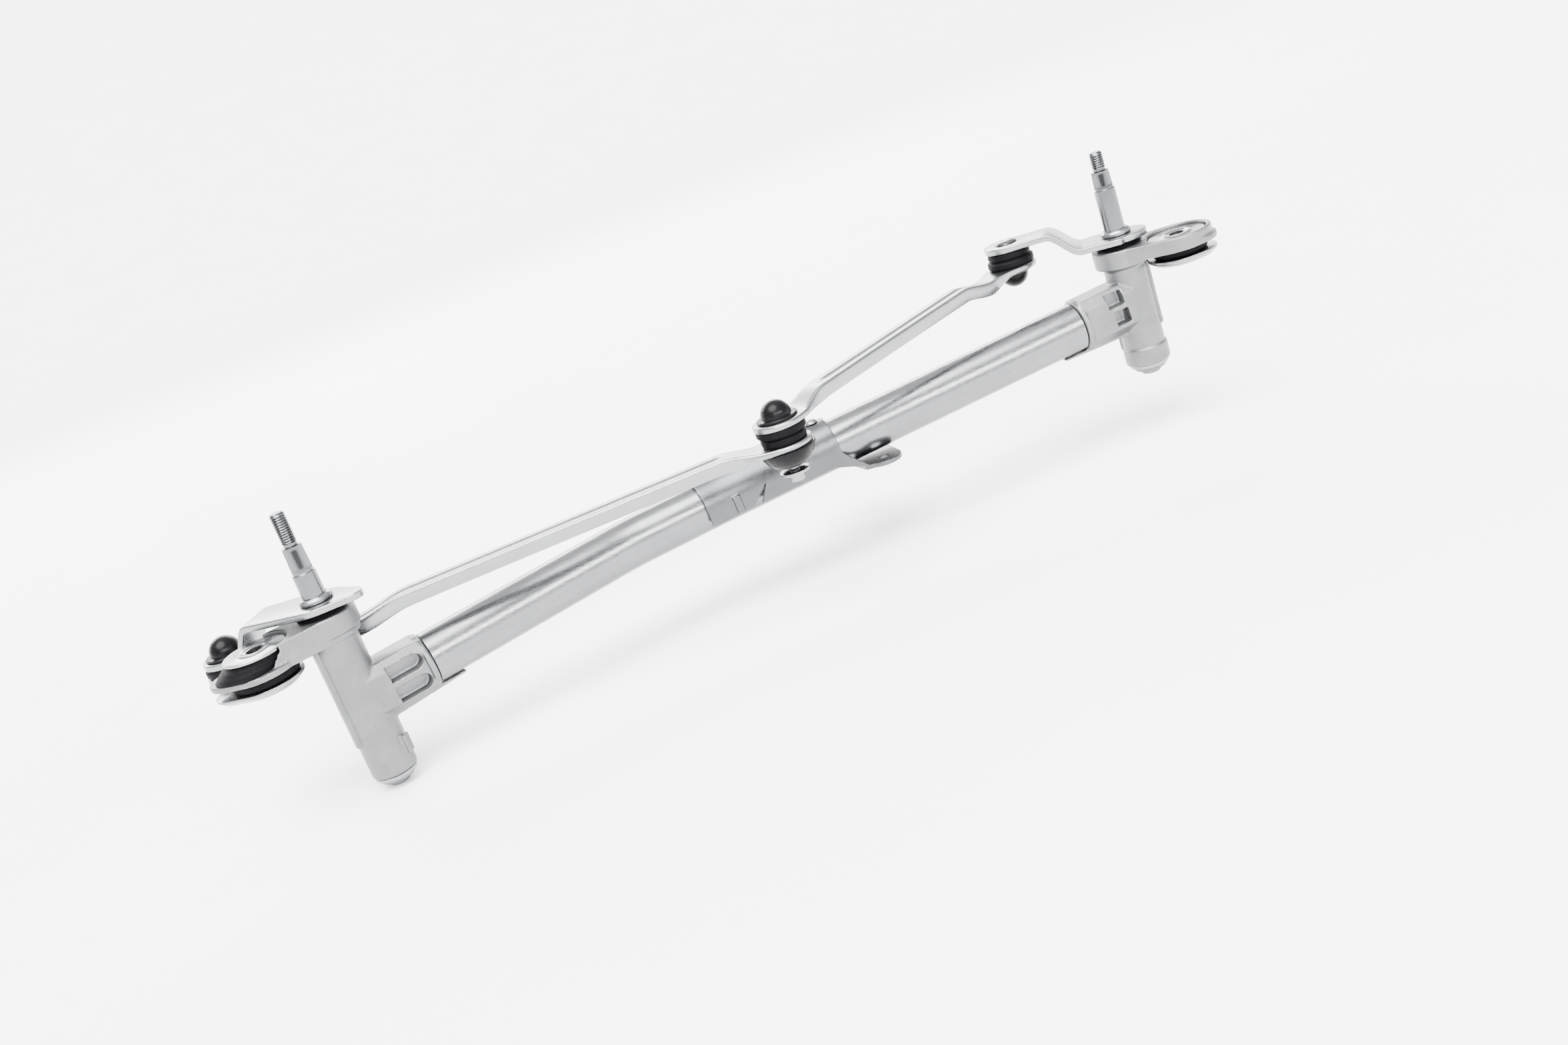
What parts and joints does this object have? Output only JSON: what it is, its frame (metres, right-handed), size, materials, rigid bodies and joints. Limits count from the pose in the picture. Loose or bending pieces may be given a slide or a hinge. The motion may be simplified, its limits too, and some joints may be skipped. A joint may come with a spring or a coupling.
{
  "type": "windshield wiper linkage",
  "caption": "Windshield wiper linkage: bent tube frame, cast pivot housings with wiper shafts, levers, link rods, drive socket, motor bracket and rubber-mounted fixing ears.",
  "frame": {"origin": "centre of the left fixing's foot, on the underside of its steel sleeve and foot washer", "axes": "+X from the left wiper shaft towards the right wiper shaft, +Z along both wiper shafts towards their threaded tips, +Y across them, from the fixings' side towards the motor plate's ring"},
  "size_m": [0.5917, 0.1304, 0.165],
  "materials": {
    "cast_aluminium": "die-cast, matt with a fine cast skin",
    "zinc_steel": "pale zinc plating, satin",
    "tube_steel": "drawn tube, satin zinc",
    "shaft_steel": "ground steel, bright",
    "bronze": "sintered bronze, oiled",
    "black_plastic": "moulded acetal, semi-matt",
    "rubber": "matt moulded rubber"
  },
  "bodies": {
    "frame": {"frame_tube": "tube_steel", "motor_bracket": "zinc_steel", "bracket_rivet_1": "zinc_steel", "bracket_rivet_2": "zinc_steel", "left_housing": "cast_aluminium", "right_housing": "cast_aluminium", "left_upper_bush": "bronze", "left_lower_bush": "bronze", "right_upper_bush": "bronze", "right_lower_bush": "bronze", "left_dust_seal": "rubber", "right_dust_seal": "rubber", "left_grommet": "rubber", "right_grommet": "rubber", "left_sleeve": "zinc_steel", "right_sleeve": "zinc_steel", "left_foot_washer": "zinc_steel", "right_foot_washer": "zinc_steel"},
    "left_pivot": {"left_shaft": "shaft_steel", "left_lever": "zinc_steel", "left_collar": "zinc_steel", "left_thrust_washer": "shaft_steel", "left_wave_washer": "zinc_steel", "left_circlip": "shaft_steel", "left_socket": "black_plastic", "left_seal": "rubber"},
    "right_pivot": {"right_shaft": "shaft_steel", "right_lever": "zinc_steel", "right_collar": "zinc_steel", "right_thrust_washer": "shaft_steel", "right_wave_washer": "zinc_steel", "right_circlip": "shaft_steel", "right_stud": "shaft_steel"},
    "left_link": {"left_link": "zinc_steel", "left_stud": "shaft_steel", "centre_stud": "shaft_steel", "drive_socket": "black_plastic", "drive_stud": "shaft_steel"},
    "right_link": {"right_link": "zinc_steel", "centre_socket": "black_plastic", "centre_seal": "rubber", "right_socket": "black_plastic", "right_seal": "rubber"}
  },
  "joints": [
    {"name": "left_shaft_turn", "type": "hinge", "parent": "frame", "child": "left_pivot", "pos_m": [0.036, 0.008, 0.0268], "axis": [0, 0, 1], "range_deg": [-95, 0]},
    {"name": "right_shaft_turn", "type": "hinge", "parent": "frame", "child": "right_pivot", "pos_m": [0.516, 0.008, 0.0388], "axis": [0, 0, 1], "range_deg": [-95, 0]},
    {"name": "left_link_pin", "type": "hinge", "parent": "left_pivot", "child": "left_link", "pos_m": [-0.01573, 0.04032, 0.0113], "axis": [0, 0, 1], "range_deg": [0, 95]},
    {"name": "right_link_pin", "type": "hinge", "parent": "right_pivot", "child": "right_link", "pos_m": [0.46427, 0.04032, 0.0518], "axis": [0, 0, 1], "range_deg": [0, 95]}
  ],
  "couplings": [
    {"joint": "right_shaft_turn", "follows": "left_shaft_turn", "ratio": 1},
    {"joint": "left_link_pin", "follows": "left_shaft_turn", "ratio": -1},
    {"joint": "right_link_pin", "follows": "left_shaft_turn", "ratio": -1}
  ]
}
